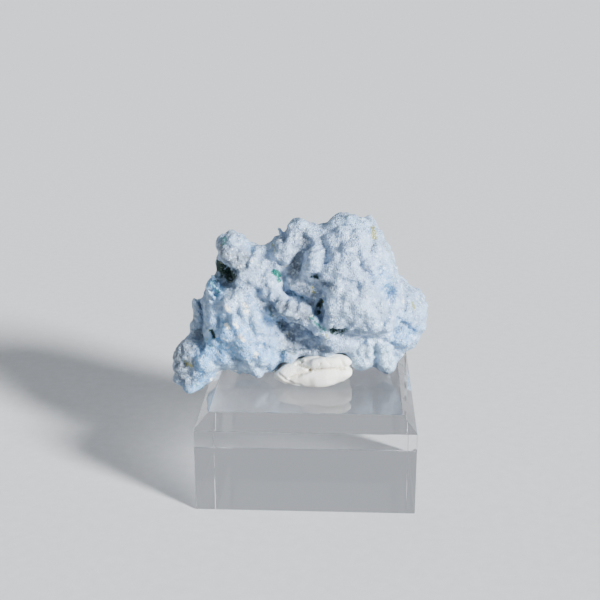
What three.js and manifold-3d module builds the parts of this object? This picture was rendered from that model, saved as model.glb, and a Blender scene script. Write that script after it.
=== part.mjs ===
// A gibbsite specimen held by a pad of putty on a clear acrylic block.
// Millimetres. +X is the viewer's right, +Y points away from the viewer and +Z is up.
// The origin is the centre of the block's underside.
import * as THREE from "three";
import { MarchingCubes } from "three/addons/objects/MarchingCubes.js";
import { mergeVertices } from "three/addons/utils/BufferGeometryUtils.js";
import Module from "manifold-3d";

const wasm = await Module();
wasm.setup();

// Driving dimensions
const blockSide = 50; // width and depth of the square block
const blockHeight = 23;
const blockBevel = 3.2; // the sloping edge round the top, as wide as it is high

// The stone and the putty are each meshed in a cube of cells round their middle.
const stoneCube = { centre: [-2.2, 0, 42], half: 35, cells: 48 };
const puttyCube = { centre: [0.9, 1.4, 27], half: 13, cells: 21 };
const creaseBlend = 0.4; // how far neighbouring lobes melt into each other
const swell = { pitch: 8.5, height: 1.8, salt: 11 }; // broad unevenness of the skin
const knob = { pitch: 3.7, height: 1.8, salt: 1 }; // rounded knobs on top of it
const puttyGap = 0.45; // clearance that the putty keeps below the stone

// Colour, roughness and metalness of the three materials
const stoneLook = { color: 0xc3d2e2, roughness: 0.55, metalness: 0 };
const puttyLook = { color: 0xe8e2d3, roughness: 0.85, metalness: 0 };
const acrylicLook = { color: 0xf2f5fa, roughness: 0.05, metalness: 0, transparent: true, opacity: 0.3 };

// Each lobe of the stone: centre, half sizes, and a lean about Y in degrees where it has one.
const lobes = {
  rightDome: [
    { at: [11, 0.5, 50], half: [8.6, 11, 12] },
    { at: [9.6, 0.5, 56.6], half: [6.2, 7.5, 6.2] },
    { at: [6, 0, 57.4], half: [3.4, 5.5, 4.8] },
    { at: [13, 1, 57], half: [2.8, 5.5, 5], lean: 22 },
    { at: [14.8, 1, 53], half: [3.9, 7, 4.2] },
    { at: [12, -3.4, 45], half: [8.4, 9.5, 7.4] },
    { at: [7, -4.5, 43], half: [4.6, 7.5, 5.6] },
    { at: [16.4, -0.5, 45.4], half: [5.4, 9, 6.6] },
    { at: [14.5, -4.8, 40.4], half: [6.2, 6.5, 4.4] },
    { at: [7.5, -4, 50], half: [5.4, 7.6, 7.4] },
    { at: [4.6, -1, 54], half: [3.4, 5.6, 5] },
  ],
  rightArm: [
    { at: [21.4, 1, 41.4], half: [5, 7, 5.4], lean: -30 },
    { at: [24.9, 1.5, 39.4], half: [3, 5, 4.6] },
    { at: [22, 0.5, 34.2], half: [4.2, 5.5, 3.6] },
    { at: [25, 1.5, 35.4], half: [2.2, 4, 2.6] },
  ],
  bottomLobes: [
    { at: [12.8, -0.5, 29.4], half: [3, 4.5, 3.6] },
    { at: [18.8, 0, 28.6], half: [2.8, 4.6, 4.2] },
    { at: [16, 0.5, 33.6], half: [5.6, 6.5, 3.6] },
    { at: [8, -3, 33.8], half: [4.8, 4.8, 2.8] },
  ],
  centre: [
    { at: [-4.4, -5.2, 42.4], half: [4.8, 5.6, 3] },
    { at: [-8.4, -4.2, 44], half: [3, 4.6, 3] },
    { at: [-0.6, -5.4, 41.4], half: [2.6, 4.8, 2.8] },
    { at: [1.2, -6.2, 53], half: [2.3, 3.8, 3.4] },
    { at: [-2, -5.4, 50.4], half: [1.6, 2.6, 1.6] },
    { at: [1.8, -5.6, 39.2], half: [2, 3.8, 2.4] },
    { at: [3.8, -5.2, 36.2], half: [2, 3.4, 2.6], lean: 20 },
    { at: [0.4, 2, 46], half: [8, 6.5, 8] },
    { at: [0, 2, 35.6], half: [9, 6.5, 4.4] },
    { at: [0.8, -1.2, 33.2], half: [8.6, 5.4, 3.7] },
    { at: [-4.4, -2, 32.4], half: [4.6, 4.6, 3.4] },
  ],
  middlePeaks: [
    { at: [-6.2, 0, 53.4], half: [3.4, 5, 4.8] },
    { at: [-2.6, 0.5, 58], half: [3.1, 4.6, 5] },
    { at: [1, 0.5, 57], half: [3.2, 4.8, 4.4] },
  ],
  leftPeak: [
    { at: [-17.8, 0, 53.9], half: [3.5, 5.6, 5] },
    { at: [-13.5, 0, 51.1], half: [3.8, 5.6, 4.4], lean: 25 },
    { at: [-14.6, -1, 48.6], half: [4.6, 6, 5.4] },
    { at: [-9.4, -0.6, 47.4], half: [4.8, 6.2, 5.2] },
  ],
  leftFan: [
    { at: [-14.4, -2, 37], half: [6.8, 7.6, 9], lean: -14 },
    { at: [-19.6, -1, 34.6], half: [5.4, 7.4, 8] },
    { at: [-11.4, -2.4, 31.4], half: [5.2, 6.6, 5.6] },
    { at: [-8, -3.2, 34.4], half: [3.8, 3.8, 2.3], lean: -12 },
    { at: [-17, -1.2, 43], half: [5.8, 6.4, 4.6] },
    { at: [-14.6, -1, 28.2], half: [7.6, 5.4, 3.6] },
    { at: [-21.6, -1, 40], half: [2.8, 5, 5] },
    { at: [-15.2, -6.6, 33], half: [1.7, 3.2, 6], lean: -30 },
  ],
  leftBulb: [
    { at: [-24.4, -1.8, 28.6], half: [4.4, 5.6, 4.8] },
    { at: [-30, -1.6, 27.8], half: [3, 4.4, 4.8] },
    { at: [-28.2, -2, 23.2], half: [3.6, 4.2, 3.4], lean: 25 },
    { at: [-30.6, -1.4, 24], half: [2.4, 3.4, 3] },
    { at: [-25.4, -2.2, 24.4], half: [2.8, 4, 3] },
  ],
  pillars: [
    { at: [-27, 1.6, 36.4], half: [1.5, 2.4, 5.4] },
    { at: [-24.4, 1, 35.6], half: [2, 3.6, 6.6] },
    { at: [-21.8, 0, 45.4], half: [1.3, 2.2, 2.8], lean: -20 },
  ],
  back: [
    { at: [9, 6, 49], half: [9, 5.5, 10.5] },
    { at: [-7, 5.6, 45], half: [9.5, 5.5, 8.6] },
    { at: [-17.6, 4, 37], half: [7.6, 5.5, 9] },
    { at: [17.4, 5, 41], half: [7.2, 5.5, 7] },
    { at: [2, 5, 39.4], half: [9.5, 5.5, 6] },
  ],
};

// The putty: a pad pressed under the stone, and three thumbed masses on its front.
const puttyMasses = [
  { at: [0.5, 1, 25.2], half: [9.7, 8.8, 5.2] },
  { at: [4, -1.4, 28.9], half: [6.4, 6.5, 3.1] }, // upper right
  { at: [3.4, -2.6, 25.2], half: [7.2, 5.9, 3.1], lean: -8 }, // lower wedge
  { at: [-4.8, -3.6, 25.7], half: [4.3, 4.1, 2.6], lean: -8 }, // left lump
];

// Pits and clefts taken out of the joined lobes.
const hollows = [
  { at: [0.6, -7.4, 46.6], half: [3.4, 2.8, 2.2] }, // grey hollow in the middle
  { at: [3.2, -9.6, 41.6], half: [0.9, 3.4, 3], lean: 24 }, // cleft beside the dome
  { at: [7, -9.6, 36.6], half: [2.6, 3.4, 0.9] }, // slot under the dome's lip
  { at: [-1.6, -7, 35.4], half: [5, 4.6, 2.7] }, // cave over the putty
  { at: [-19.4, -5.6, 49.6], half: [2.8, 5, 2.1] }, // dark pit under the left peak
  { at: [-1.4, -5.6, 56.6], half: [1.6, 3.6, 3.4], lean: 25 }, // groove between the peaks
  { at: [-3.8, -7, 49.4], half: [1.3, 3.6, 4.4], lean: 18 }, // its lower end
  { at: [-8.2, -8.6, 37.4], half: [1.4, 3.4, 3.6], lean: -45 }, // shadowed gap beside the fan
  { at: [18.4, -9.4, 47.2], half: [1.8, 2.2, 2] }, // blue pit on the dome
];

// A repeatable number from 0 to 1 for a cell of a cubic lattice.
function cellRandom(i, j, k, salt) {
  const wave = Math.sin(i * 127.1 + j * 311.7 + k * 74.7 + salt * 53.3) * 43758.5453;
  return wave - Math.floor(wave);
}

// Height of rounded bumps at a point, partly above and partly below the skin.
// One bump stands at a random place in each cell of a lattice, and the nearest counts.
const skinLevel = 0.7; // share of a bump's height that lies below the skin
function bumpAt(x, y, z, { pitch, height, salt }) {
  const [i0, j0, k0] = [x, y, z].map((v) => Math.floor(v / pitch));
  let nearest = Infinity;
  for (let i = i0 - 1; i <= i0 + 1; i++) {
    for (let j = j0 - 1; j <= j0 + 1; j++) {
      for (let k = k0 - 1; k <= k0 + 1; k++) {
        const dx = (i + cellRandom(i, j, k, salt)) * pitch - x;
        const dy = (j + cellRandom(i, j, k, salt + 1)) * pitch - y;
        const dz = (k + cellRandom(i, j, k, salt + 2)) * pitch - z;
        nearest = Math.min(nearest, dx * dx + dy * dy + dz * dz);
      }
    }
  }
  return height * (Math.sqrt(Math.max(0, 1 - nearest / pitch ** 2)) - skinLevel);
}

// Depth of a point inside an ellipsoid in millimetres, negative outside it.
const atMiddle = 1e-6; // share of the half sizes within which a point counts as the middle
function depthIn({ at, half, lean = 0 }, x, y, z) {
  const angle = THREE.MathUtils.degToRad(lean);
  const [dx, dy, dz] = [x - at[0], y - at[1], z - at[2]];
  const across = dx * Math.cos(angle) - dz * Math.sin(angle);
  const along = dx * Math.sin(angle) + dz * Math.cos(angle);
  const [a, b, c] = [across / half[0], dy / half[1], along / half[2]];
  const reach = Math.hypot(a, b, c);
  const slope = Math.hypot(a / half[0], b / half[1], c / half[2]);
  return reach < atMiddle ? Math.min(...half) : (reach * (1 - reach)) / slope;
}

// Depth of a point inside the stone: the lobes melted together, unevenness added, hollows taken out.
const allLobes = Object.values(lobes).flat();
const skinDepth = 5; // how near the skin a point is given its unevenness
const largestPower = 40; // keeps the sum of powers finite deep inside
const smallestSum = 1e-12; // and its logarithm finite far outside
function depthInStone(x, y, z) {
  let sum = smallestSum;
  for (const lobe of allLobes) {
    sum += Math.exp(Math.min(largestPower, depthIn(lobe, x, y, z) / creaseBlend));
  }
  let depth = creaseBlend * Math.log(sum);
  if (Math.abs(depth) < skinDepth) {
    depth += bumpAt(x, y, z, swell) + bumpAt(x, y, z, knob);
  }
  return hollows.reduce((rest, hollow) => Math.min(rest, -depthIn(hollow, x, y, z)), depth);
}

const mergeDistance = 1e-4; // corners nearer than this are one corner
function toManifold(geometry) {
  geometry.deleteAttribute("normal");
  geometry.deleteAttribute("uv");
  const merged = mergeVertices(geometry, mergeDistance);
  return new wasm.Manifold(
    new wasm.Mesh({
      numProp: 3,
      vertProperties: merged.attributes.position.array,
      triVerts: new Uint32Array(merged.index.array),
    }),
  );
}

function toGeometry(solid) {
  const mesh = solid.getMesh();
  const geometry = new THREE.BufferGeometry();
  geometry.setAttribute("position", new THREE.BufferAttribute(mesh.vertProperties, 3));
  geometry.setIndex(new THREE.BufferAttribute(mesh.triVerts, 1));
  geometry.computeVertexNormals();
  return geometry;
}

// Meshes the surface where a depth function is zero, as one closed shell.
const mostTriangles = 40000;
const leastDepthShare = 0.08; // keeps corners off the lattice, where facets would vanish
function meshedSolid({ centre, half, cells }, depthAt) {
  const cellSize = (2 * half) / cells;
  const leastDepth = leastDepthShare * cellSize;
  const material = new THREE.MeshBasicMaterial();
  const marcher = new MarchingCubes(cells, material, false, false, mostTriangles);
  marcher.isolation = 0;
  for (let k = 0; k < cells; k++) {
    for (let j = 0; j < cells; j++) {
      for (let i = 0; i < cells; i++) {
        const [x, y, z] = [i, j, k].map((n, axis) => centre[axis] - half + n * cellSize);
        const depth = depthAt(x, y, z);
        const kept = Math.max(Math.abs(depth), leastDepth);
        marcher.setCell(i, j, k, depth < 0 ? -kept : kept);
      }
    }
  }
  marcher.update();
  const geometry = new THREE.BufferGeometry();
  const corners = marcher.positionArray.slice(0, marcher.count * 3);
  geometry.setAttribute("position", new THREE.BufferAttribute(corners, 3));
  geometry.scale(half, half, half).translate(...centre);
  // the largest shell is the outside; any other is a bubble or a loose crumb
  return toManifold(geometry)
    .decompose()
    .reduce((largest, shell) => (shell.volume() > largest.volume() ? shell : largest));
}

// The putty fills up to the stone and is cut flat where it stands on the block.
function puttySolid() {
  const size = 2 * puttyCube.half;
  const room = new THREE.BoxGeometry(size, size, size);
  room.translate(puttyCube.centre[0], puttyCube.centre[1], blockHeight + puttyCube.half);
  return meshedSolid(puttyCube, (x, y, z) => {
    const inside = Math.max(...puttyMasses.map((mass) => depthIn(mass, x, y, z)));
    return Math.min(inside, -depthInStone(x, y, z) - puttyGap);
  }).intersect(toManifold(room));
}

// The block: a square with its top edge bevelled all round.
function blockSolid() {
  const half = blockSide / 2;
  const inner = half - blockBevel;
  const shoulder = blockHeight - blockBevel;
  const section = new THREE.Shape();
  section.moveTo(-half, 0);
  section.lineTo(half, 0);
  section.lineTo(half, shoulder);
  section.lineTo(inner, blockHeight);
  section.lineTo(-inner, blockHeight);
  section.lineTo(-half, shoulder);
  section.closePath();
  const slab = new THREE.ExtrudeGeometry(section, { depth: blockSide, bevelEnabled: false });
  slab.translate(0, 0, -half).rotateX(Math.PI / 2);
  const crossSlab = slab.clone().rotateZ(Math.PI / 2);
  return toManifold(slab).intersect(toManifold(crossSlab));
}

const specimen = new THREE.Group();

function addPiece(name, solid, look) {
  const mesh = new THREE.Mesh(toGeometry(solid), new THREE.MeshStandardMaterial(look));
  mesh.name = name;
  specimen.add(mesh);
}

addPiece("gibbsite", meshedSolid(stoneCube, depthInStone), stoneLook);
addPiece("putty", puttySolid(), puttyLook);
addPiece("acrylic_base", blockSolid(), acrylicLook);

export default specimen;
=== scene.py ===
# A pale blue gibbsite specimen, held by putty on a clear acrylic block.
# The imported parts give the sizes; everything here is the finish of their surfaces.
import math

import bpy
import numpy as np
from mathutils import Matrix, Vector


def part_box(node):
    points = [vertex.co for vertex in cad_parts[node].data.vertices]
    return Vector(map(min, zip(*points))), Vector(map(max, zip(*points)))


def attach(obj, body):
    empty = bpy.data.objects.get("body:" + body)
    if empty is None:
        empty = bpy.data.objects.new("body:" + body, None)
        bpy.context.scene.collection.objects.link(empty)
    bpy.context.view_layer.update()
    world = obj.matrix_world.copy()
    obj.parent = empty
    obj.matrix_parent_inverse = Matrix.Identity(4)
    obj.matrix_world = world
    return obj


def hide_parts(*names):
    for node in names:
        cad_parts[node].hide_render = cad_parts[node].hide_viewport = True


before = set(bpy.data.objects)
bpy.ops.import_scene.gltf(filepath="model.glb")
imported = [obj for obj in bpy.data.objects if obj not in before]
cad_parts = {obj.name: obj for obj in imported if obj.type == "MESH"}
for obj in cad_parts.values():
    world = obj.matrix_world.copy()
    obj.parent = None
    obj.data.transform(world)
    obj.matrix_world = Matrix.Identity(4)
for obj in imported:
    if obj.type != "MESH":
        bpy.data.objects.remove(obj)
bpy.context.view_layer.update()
mm = 0.001
rng = np.random.default_rng(20)
print("frame loaded with", len(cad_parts), "pieces")

# The photograph's camera, in millimetres, degrees and pixels of a 600 pixel square frame
camera = {
    "at": (9.5, -229.4, 118.5),
    "yaw": -2.92,
    "pitch": -18.29,
    "roll": -0.25,
    "focalPixels": 1013.3,
    "framePixels": 600,
    "sensor": 36.0,  # millimetres wide
    "clip": (0.01, 30),  # metres
}


def cameraAxes():
    # right, up and forward unit vectors from the three angles
    yaw, pitch, roll = np.radians([camera["yaw"], camera["pitch"], camera["roll"]])
    forward = np.array([np.sin(yaw) * np.cos(pitch), np.cos(yaw) * np.cos(pitch), np.sin(pitch)])
    right = np.array([np.cos(yaw), -np.sin(yaw), 0.0])
    up = np.cross(right, forward)
    return (
        right * np.cos(roll) + up * np.sin(roll),
        up * np.cos(roll) - right * np.sin(roll),
        forward,
    )


def makeCamera():
    right, up, forward = cameraAxes()
    data = bpy.data.cameras.new("camera")
    data.sensor_width = camera["sensor"]
    data.lens = camera["focalPixels"] * camera["sensor"] / camera["framePixels"]
    data.clip_start, data.clip_end = camera["clip"]
    view = bpy.data.objects.new("camera", data)
    place = Matrix.Identity(4)
    for row in range(3):
        place[row][0], place[row][1], place[row][2] = right[row], up[row], -forward[row]
        place[row][3] = camera["at"][row] * mm
    view.matrix_world = place
    bpy.context.scene.collection.objects.link(view)
    bpy.context.scene.camera = view


def seenPixels(points):
    # pixel of each point in the photograph, and its depth from the camera in millimetres
    right, up, forward = cameraAxes()
    away = points / mm - np.array(camera["at"])
    depth = away @ forward
    half = camera["framePixels"] / 2
    across = half + camera["focalPixels"] * (away @ right) / depth
    down = half - camera["focalPixels"] * (away @ up) / depth
    return np.stack([across, down], axis=1), depth


# Mesh helpers: whole arrays in, whole arrays out


def newPiece(name, points, faces, smooth=True):
    # a mesh from an array of points and an array of faces with equal corner counts
    mesh = bpy.data.meshes.new(name)
    mesh.vertices.add(len(points))
    mesh.vertices.foreach_set("co", np.ascontiguousarray(points, dtype=np.float32).ravel())
    mesh.loops.add(faces.size)
    mesh.loops.foreach_set("vertex_index", np.ascontiguousarray(faces, dtype=np.int32).ravel())
    mesh.polygons.add(len(faces))
    starts = np.arange(len(faces), dtype=np.int32) * faces.shape[1]
    mesh.polygons.foreach_set("loop_start", starts)
    mesh.polygons.foreach_set("use_smooth", np.full(len(faces), smooth))
    mesh.update(calc_edges=True)
    piece = bpy.data.objects.new(name, mesh)
    bpy.context.scene.collection.objects.link(piece)
    return piece


def pointsOf(mesh):
    points = np.empty(len(mesh.vertices) * 3, dtype=np.float32)
    mesh.vertices.foreach_get("co", points)
    return points.reshape(-1, 3).astype(float)


def facesOf(mesh, corners):
    faces = np.empty(len(mesh.loops), dtype=np.int32)
    mesh.loops.foreach_get("vertex_index", faces)
    return faces.reshape(-1, corners)


weld = 1e-7  # metres within which two corners are one


def mergedCopy(node):
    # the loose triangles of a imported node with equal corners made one
    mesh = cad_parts[node].data
    keys = np.round(pointsOf(mesh) / weld).astype(np.int64)
    _, first, back = np.unique(keys, axis=0, return_index=True, return_inverse=True)
    return pointsOf(mesh)[first], back.reshape(-1)[facesOf(mesh, 3)]


def remeshed(points, faces, voxel):
    # the outer skin of everything joined, as even quads one voxel across
    piece = newPiece("rough", points, faces)
    voxels = piece.modifiers.new("voxels", "REMESH")
    voxels.mode = "VOXEL"
    voxels.voxel_size = voxel
    depsgraph = bpy.context.evaluated_depsgraph_get()
    mesh = bpy.data.meshes.new_from_object(piece.evaluated_get(depsgraph))
    points, faces = pointsOf(mesh), facesOf(mesh, 4)
    bpy.data.meshes.remove(mesh)
    rough = piece.data
    bpy.data.objects.remove(piece)
    bpy.data.meshes.remove(rough)
    return largestShell(points, faces)


def edgesOf(faces):
    sides = np.concatenate([faces[:, [k, (k + 1) % faces.shape[1]]] for k in range(faces.shape[1])])
    return np.unique(np.sort(sides, axis=1), axis=0)


def largestShell(points, faces):
    # labels spread along edges until each shell has one label; only the biggest is kept
    edges = edgesOf(faces)
    label = np.arange(len(points))
    while True:
        low = np.minimum(label[edges[:, 0]], label[edges[:, 1]])
        spread = label.copy()
        np.minimum.at(spread, edges[:, 0], low)
        np.minimum.at(spread, edges[:, 1], low)
        spread = spread[spread]
        if np.array_equal(spread, label):
            break
        label = spread
    main = np.bincount(label).argmax()
    kept = label == main
    index = np.cumsum(kept) - 1
    return points[kept], index[faces[kept[faces[:, 0]]]]


def neighbourMeans(values, edges):
    # mean of each vertex's neighbours along the edges
    count = np.bincount(edges.ravel(), minlength=len(values))
    columns = []
    for column in values.reshape(len(values), -1).T:
        total = np.bincount(edges[:, 0], column[edges[:, 1]], len(values))
        total += np.bincount(edges[:, 1], column[edges[:, 0]], len(values))
        columns.append(total / np.maximum(count, 1))
    return np.stack(columns, axis=1).reshape(values.shape)


def relaxed(values, edges, passes):
    # each pass moves every value half way to the mean of its neighbours
    for _ in range(passes):
        values = values + 0.5 * (neighbourMeans(values, edges) - values)
    return values


def normalsOf(points, faces):
    # each vertex's normal is the sum of its faces' area vectors
    across = points[faces[:, 2]] - points[faces[:, 0]]
    along = points[faces[:, -1]] - points[faces[:, 1]]
    area = np.cross(across, along)
    normals = np.zeros_like(points)
    for axis in range(3):
        weight = np.repeat(area[:, axis], faces.shape[1])
        normals[:, axis] = np.bincount(faces.ravel(), weight, len(points))
    lengths = np.linalg.norm(normals, axis=1, keepdims=True)
    return normals / np.maximum(lengths, 1e-20)  # never a division by zero


def skinned(points, faces, voxel, passes):
    # one smoothed skin round everything joined, its voxel in millimetres
    points, faces = remeshed(points, faces, voxel * mm)
    return relaxed(points, edgesOf(faces), passes), faces


def sunkBelow(points, edges, normals, passes):
    # how far in millimetres each point lies below its own smoothed shape
    return np.sum((relaxed(points, edges, passes) - points) * normals, axis=1) / mm


# Patterns in space


def cellRandom(cells, salt):
    # a repeatable number from 0 to 1 for each cell of a cubic lattice: the last digits of a big sine
    wave = np.sin(cells @ np.array([127.1, 311.7, 74.7]) + salt * 53.3) * 43758.5453
    return wave - np.floor(wave)


def nearestSeed(points, pitch, salt):
    # distance to the nearest of the seeds, one at a random place in each cell, in pitches
    base = np.floor(points / pitch)
    nearest = np.full(len(points), 9.0)  # more than any squared distance here
    for shift in np.ndindex(3, 3, 3):
        cells = base + np.array(shift) - 1
        seeds = np.stack([cells[:, k] + cellRandom(cells, salt + k) for k in range(3)], axis=1)
        nearest = np.minimum(nearest, np.sum((seeds - points / pitch) ** 2, axis=1))
    return np.sqrt(nearest)


def roundBumps(points, pitch, salt):
    # rounded domes side by side, 1 at their tops and 0 deep in the creases
    return np.sqrt(np.clip(1 - nearestSeed(points, pitch, salt) ** 2, 0, 1))


def slowWaves(points, pitch, salt):
    # nine sine waves in random directions, added and scaled to about -1 to 1
    waves, count = np.random.default_rng(salt), 9
    directions = waves.normal(size=(3, count))
    directions /= np.linalg.norm(directions, axis=0)
    phase = waves.uniform(0, 2 * np.pi, count)
    return np.sin(points @ directions * (2 * np.pi / pitch) + phase).sum(axis=1) / math.sqrt(count)


# Balls, and where they are laid


def unitSphere(rings, sides):
    # a closed ball: angle down from the pole by angle round the axis, poles as single points
    down = np.linspace(0, np.pi, rings + 1)[1:-1]
    turn = np.linspace(0, 2 * np.pi, sides, endpoint=False)
    down, turn = np.meshgrid(down, turn, indexing="ij")
    points = np.stack([np.sin(down) * np.cos(turn), np.sin(down) * np.sin(turn), np.cos(down)], axis=-1)
    points = np.concatenate([points.reshape(-1, 3), [[0, 0, 1], [0, 0, -1]]])
    ring = np.arange((rings - 1) * sides).reshape(rings - 1, sides)
    after = np.roll(ring, -1, axis=1)
    a, b, c, d = ring[:-1], after[:-1], after[1:], ring[1:]
    walls = np.concatenate([np.stack([a, d, c], axis=-1), np.stack([a, c, b], axis=-1)]).reshape(-1, 3)
    top, bottom = len(points) - 2, len(points) - 1
    upper = np.stack([np.full(sides, top), ring[0], after[0]], axis=-1)
    lower = np.stack([np.full(sides, bottom), after[-1], ring[-1]], axis=-1)
    return points, np.concatenate([walls, upper, lower])


def scattered(points, faces, count):
    # random places on the triangles, each as likely as its share of the area, with normals
    corners = points[faces]
    area = np.cross(corners[:, 1] - corners[:, 0], corners[:, 2] - corners[:, 0])
    size = np.linalg.norm(area, axis=1)
    chosen = rng.choice(len(faces), count, p=size / size.sum())
    share = rng.dirichlet((1, 1, 1), count)
    places = (corners[chosen] * share[:, :, None]).sum(axis=1)
    return places, area[chosen] / size[chosen, None]


def ballsAt(places, axes, radii, lengths, rings, sides):
    # a ball at each place, stretched along its own axis
    ball, ballFaces = unitSphere(rings, sides)
    askew = np.roll(axes, 1, axis=1) + [0.3, 0.1, -0.2]  # any direction off the axis
    side = np.cross(axes, askew)
    side /= np.linalg.norm(side, axis=1, keepdims=True)
    other = np.cross(axes, side)
    points = (
        ball[None, :, 0, None] * (side * radii[:, None])[:, None]
        + ball[None, :, 1, None] * (other * radii[:, None])[:, None]
        + ball[None, :, 2, None] * (axes * lengths[:, None])[:, None]
        + places[:, None]
    )
    shifts = np.arange(len(places))[:, None, None] * len(ball)
    return points.reshape(-1, 3), (ballFaces[None] + shifts).reshape(-1, 3)


def joined(parts):
    # several (points, faces) pairs as one
    shifts = np.cumsum([0] + [len(points) for points, _ in parts[:-1]])
    return (
        np.concatenate([points for points, _ in parts]),
        np.concatenate([faces + shift for (_, faces), shift in zip(parts, shifts)]),
    )


# Marks that are placed by the photograph's pixels and lie on the surface seen there
pathStep = 1.5  # pixels between the places along a path
pixelCost = 4.0  # millimetres of depth that one pixel of distance weighs as much as


def stretchedPath(pixels):
    # evenly spaced pixels along a broken line
    pixels = np.array(pixels, dtype=float)
    if len(pixels) == 1:
        return pixels
    lengths = np.linalg.norm(np.diff(pixels, axis=0), axis=1)
    along = np.concatenate([[0], np.cumsum(lengths)])
    at = np.linspace(0, along[-1], max(2, int(along[-1] / pathStep) + 1))
    return np.stack([np.interp(at, along, pixels[:, k]) for k in range(2)], axis=1)


def skinUnder(seen, depth, pixels):
    # for each pixel, the index of the point that is seen nearest to it and nearest to the camera
    return np.array([np.argmin(np.hypot(*(seen - pixel).T) * pixelCost + depth) for pixel in pixels])


def placedOn(points, seen, depth, pixels):
    return points[skinUnder(seen, depth, stretchedPath(pixels))]


def markWeight(points, places, radius):
    # 1 on the places, falling smoothly to 0 at the radius from them
    nearest = np.full(len(points), 9.0)  # any number over 1
    for place in places:
        nearest = np.minimum(nearest, np.sum((points - place) ** 2, axis=1) / radius**2)
    return np.clip(1 - nearest, 0, 1) ** 2


def reliefLift(points, reliefs, reach=1.0):
    # the lifts of all grooves and ridges together, in metres
    seen, depth = seenPixels(points)
    lift = np.zeros(len(points))
    for path, width, height in reliefs:
        places = placedOn(points, seen, depth, path)
        lift += height * mm * markWeight(points, places, width * reach * mm)
    return lift


# Node helpers


def newMaterial(name):
    # a material, its tree, its shader and the object coordinates that its textures read
    material = bpy.data.materials.new(name)
    material.use_nodes = True
    tree = material.node_tree
    place = tree.nodes.new("ShaderNodeTexCoord").outputs["Object"]
    return material, tree, tree.nodes["Principled BSDF"], place


def feed(tree, node, inputs):
    # each input gets its value, or a link from the output socket that is given for it
    for key, value in inputs.items():
        if isinstance(value, bpy.types.NodeSocket):
            tree.links.new(value, node.inputs[key])
        else:
            node.inputs[key].default_value = value


def addNode(tree, kind, inputs, **settings):
    node = tree.nodes.new(kind)
    for key, value in settings.items():
        setattr(node, key, value)
    feed(tree, node, inputs)
    return node


def blended(tree, share, under, over):
    # one colour mixed over another: sockets 0, 6 and 7 are the share and the two colours
    colours = [(*colour, 1) if isinstance(colour, tuple) else colour for colour in (under, over)]
    inputs = {0: share, 6: colours[0], 7: colours[1]}
    return addNode(tree, "ShaderNodeMix", inputs, data_type="RGBA").outputs[2]


def ranged(tree, value, low, high, newLow=0.0, newHigh=1.0):
    inputs = {"Value": value, "From Min": low, "From Max": high, "To Min": newLow, "To Max": newHigh}
    return addNode(tree, "ShaderNodeMapRange", inputs).outputs[0]


def maths(tree, operation, first, second):
    return addNode(tree, "ShaderNodeMath", {0: first, 1: second}, operation=operation).outputs[0]


def times(tree, first, second):
    return maths(tree, "MULTIPLY", first, second)


def vectors(tree, operation, inputs):
    return addNode(tree, "ShaderNodeVectorMath", inputs, operation=operation).outputs[0]


def noise(tree, place, scale, detail):
    inputs = {"Vector": place, "Scale": scale, "Detail": detail}
    return addNode(tree, "ShaderNodeTexNoise", inputs).outputs[0]


def cellPattern(tree, place, scale):
    return addNode(tree, "ShaderNodeTexVoronoi", {"Vector": place, "Scale": scale}).outputs


def mask(tree, name):
    return addNode(tree, "ShaderNodeAttribute", {}, attribute_name=name).outputs["Fac"]


def setMask(piece, name, values):
    attribute = piece.data.attributes.new(name, "FLOAT", "POINT")
    attribute.data.foreach_set("value", np.ascontiguousarray(values, dtype=np.float32))


# The stone
stone = {
    # sizes in millimetres, smoothing in passes; each skin has its voxel and its smoothing
    "baseSkin": (0.5, 5),
    "lobedSkin": (0.45, 2),
    "lastSkin": (0.33, 1),
    "normalSmoothing": 6,
    "knobs": (4.2, 1.1, 5),  # pitch, height and seed of the broad knobs
    "knobLevel": 0.7,  # share of the height of a knob that is level with the body
    "settle": 0.45,  # how far the body is drawn in before the lobes are laid on it
    # placed lobes: share of the radius that stands out, and length over radius
    "lobes": {"out": 0.5, "length": 0.95, "rings": 12, "sides": 16},
    # lumps scattered where no lobe is placed: how many, radii, share that stands out
    "lumps": {"count": 380, "radius": (1.0, 2.6), "out": 0.42, "rings": 8, "sides": 12},
    # two sizes of small lumps all over
    "crumbs": (
        {"count": 1300, "radius": (0.5, 1.05), "out": 0.42, "rings": 6, "sides": 8},
        {"count": 2800, "radius": (0.34, 0.56), "out": 0.42, "rings": 4, "sides": 6},
    ),
    "smallBias": 1.6,  # over 1, small lumps are more common than large ones
    "lumpLength": (0.8, 1.15),  # over its radius
    # rows of beads: their pitch, wander, sizes over the radius there
    "beads": {"pitch": 0.4, "wander": 0.1, "size": (0.85, 1.2), "rings": 6, "sides": 8},
    "reliefReach": 1.25,  # over a mark's half width
    # crystal grain laid over everything: pitch, height and seed
    "grain": ((1.6, 0.24, 3), (0.8, 0.15, 7)),
    "grainLevel": 0.72,
    # masks of painted shade in narrow creases and wide hollows (the first also lightens the crests):
    # smoothing passes and gain for each millimetre
    "creviceShadingMask": (6, 1.8),
    "hollowShadeMask": (90, 0.45),
}

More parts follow.
